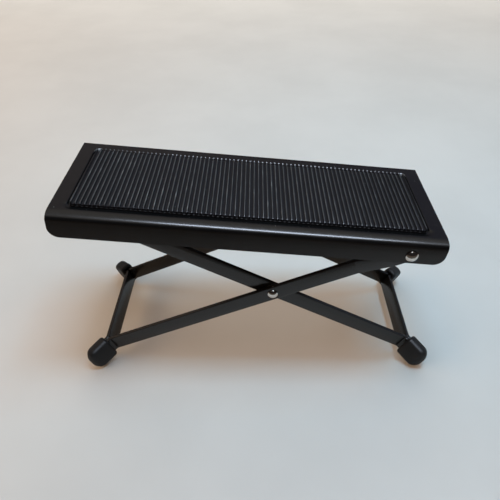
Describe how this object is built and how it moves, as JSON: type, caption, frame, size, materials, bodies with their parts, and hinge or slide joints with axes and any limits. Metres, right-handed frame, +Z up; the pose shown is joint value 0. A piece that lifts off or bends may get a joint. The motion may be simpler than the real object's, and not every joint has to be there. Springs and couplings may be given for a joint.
{
  "type": "folding guitar footrest",
  "caption": "Folding footrest: a tilted sheet-steel foot plate with a ribbed rubber pad, on crossed leg frames of flat steel strip with rubber feet and riveted pivots.",
  "frame": {"origin": "on the floor, under the middle of the object's bounding box", "axes": "+Z up, +X towards the hinged end of the foot plate, +Y to the rear; the part is symmetric about the plane y = 0"},
  "size_m": [0.275, 0.1172, 0.149],
  "materials": {
    "powder_coat": "satin black powder coat",
    "ribbed_rubber": "matte moulded ribs",
    "cap_rubber": "satin moulded rubber",
    "nickel": "polished nickel plate",
    "zinc": "zinc plate",
    "nylon": "natural nylon"
  },
  "bodies": {
    "outer_legs": {"outer_leg_frame": "powder_coat", "foot_cap_left_front": "cap_rubber", "foot_cap_left_rear": "cap_rubber", "cross_rivet_front": "nickel", "cross_rivet_rear": "nickel", "cross_washer_front": "nylon", "cross_washer_rear": "nylon"},
    "hinge_rivets": {"hinge_rivet_front": "nickel", "hinge_rivet_rear": "nickel", "hinge_washer_front": "nylon", "hinge_washer_rear": "nylon"},
    "deck": {"foot_plate": "powder_coat", "tread_pad": "ribbed_rubber", "height_rack_front": "powder_coat", "height_rack_rear": "powder_coat"},
    "inner_legs": {"inner_leg_frame": "powder_coat", "rest_rod": "zinc", "foot_cap_right_front": "cap_rubber", "foot_cap_right_rear": "cap_rubber"}
  },
  "joints": [
    {"name": "fold", "type": "hinge", "parent": "outer_legs", "child": "hinge_rivets", "pos_m": [0.10328, 0, 0.11514], "axis": [0, -1, 0], "range_deg": [0, 29.39]},
    {"name": "plate_lift", "type": "hinge", "parent": "hinge_rivets", "child": "deck", "pos_m": [0.10328, 0, 0.11514], "axis": [0, 1, 0], "range_deg": [0, 3]},
    {"name": "leg_spread", "type": "hinge", "parent": "outer_legs", "child": "inner_legs", "pos_m": [0.01111, 0, 0.07313], "axis": [0, -1, 0], "range_deg": [0, 52.79]}
  ],
  "couplings": [
    {"joint": "leg_spread", "follows": "fold", "ratio": 1.7953}
  ]
}
